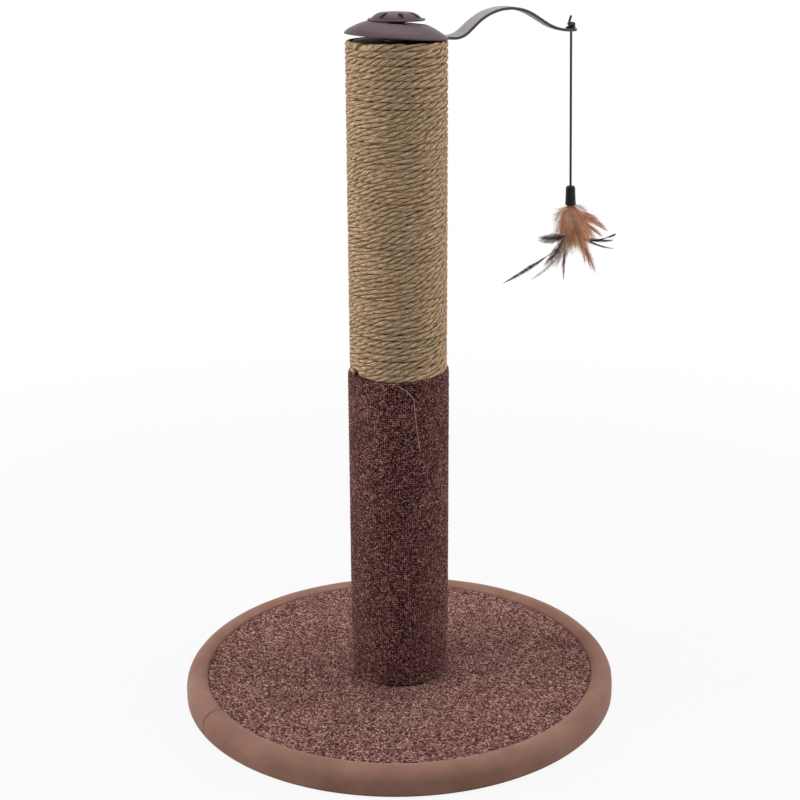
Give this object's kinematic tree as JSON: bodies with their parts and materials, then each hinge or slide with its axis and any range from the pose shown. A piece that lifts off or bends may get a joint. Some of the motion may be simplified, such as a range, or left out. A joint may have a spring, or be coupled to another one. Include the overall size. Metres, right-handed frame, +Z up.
{
  "type": "cat scratching post",
  "caption": "Round-based cat scratching post with a carpet and seagrass rope column and a swivelling cap whose wavy arm dangles a feather toy on a cord.",
  "frame": {"origin": "on the floor at the middle of the round base's underside", "axes": "+Z up along the post; +X to the right in the picture's view, so the toy arm points 25 degrees from +X towards +Y; +Y away from the viewer"},
  "size_m": [0.3999, 0.4, 0.6241],
  "materials": {
    "board": "raw particle board",
    "base_pile": "mottled maroon-brown cut pile carpet",
    "post_pile": "dark maroon-brown ribbed carpet",
    "suede": "brushed suede cloth",
    "foam": "soft foam strip",
    "zinc_steel": "zinc-plated steel",
    "card": "spiral-wound card",
    "plywood": "turned softwood",
    "seagrass": "twisted seagrass rope",
    "black_plastic": "moulded, matte",
    "nylon": "natural nylon",
    "arm_plastic": "pebbled moulding, springy",
    "cap_plastic": "satin brown-grey moulding",
    "brass": "turned",
    "black_elastic": "braided round elastic",
    "ginger_feather": "fluffy ginger hackle",
    "dark_feather": "dark grey quill feather",
    "pale_feather": "pale barred feather"
  },
  "bodies": {
    "root": {"base_board": "board", "base_carpet": "base_pile", "rim_padding": "foam", "rim_cover": "suede", "rim_staples": "zinc_steel", "base_bolt": "zinc_steel", "base_washer": "zinc_steel", "bottom_plug": "plywood", "bottom_tee_nut": "zinc_steel", "plug_tacks": "zinc_steel", "post_tube": "card", "post_carpet": "post_pile", "seagrass_rope": "seagrass", "rope_staples": "zinc_steel", "top_plug": "black_plastic", "post_stud": "zinc_steel", "stud_nut": "zinc_steel", "swivel_bush": "nylon"},
    "head": {"teaser_arm": "arm_plastic", "cap_dome": "cap_plastic", "cap_screws": "zinc_steel"},
    "knob": {"top_knob": "cap_plastic", "knob_insert": "brass"},
    "knot": {"cord_knot": "black_elastic"},
    "toy": {"toy_cord": "black_elastic", "toy_ferrule": "black_plastic", "ginger_feathers": "ginger_feather", "dark_feathers": "dark_feather", "pale_feathers": "pale_feather"}
  },
  "joints": [
    {"name": "head_swivel", "type": "hinge", "parent": "root", "child": "head", "pos_m": [0, 0, 0.603], "axis": [0, 0, 1], "continuous": true},
    {"name": "knob_turn", "type": "hinge", "parent": "root", "child": "knob", "pos_m": [0, 0, 0.614], "axis": [0, 0, 1], "continuous": true},
    {"name": "toy_spin", "type": "hinge", "parent": "head", "child": "knot", "pos_m": [0.15105, 0.07043, 0.59993], "axis": [0, 0, 1], "range_deg": [-90, 90]},
    {"name": "toy_swing", "type": "hinge", "parent": "knot", "child": "toy", "pos_m": [0.15105, 0.07043, 0.59993], "axis": [0.4226, -0.9063, 0], "range_deg": [-15, 70]}
  ]
}
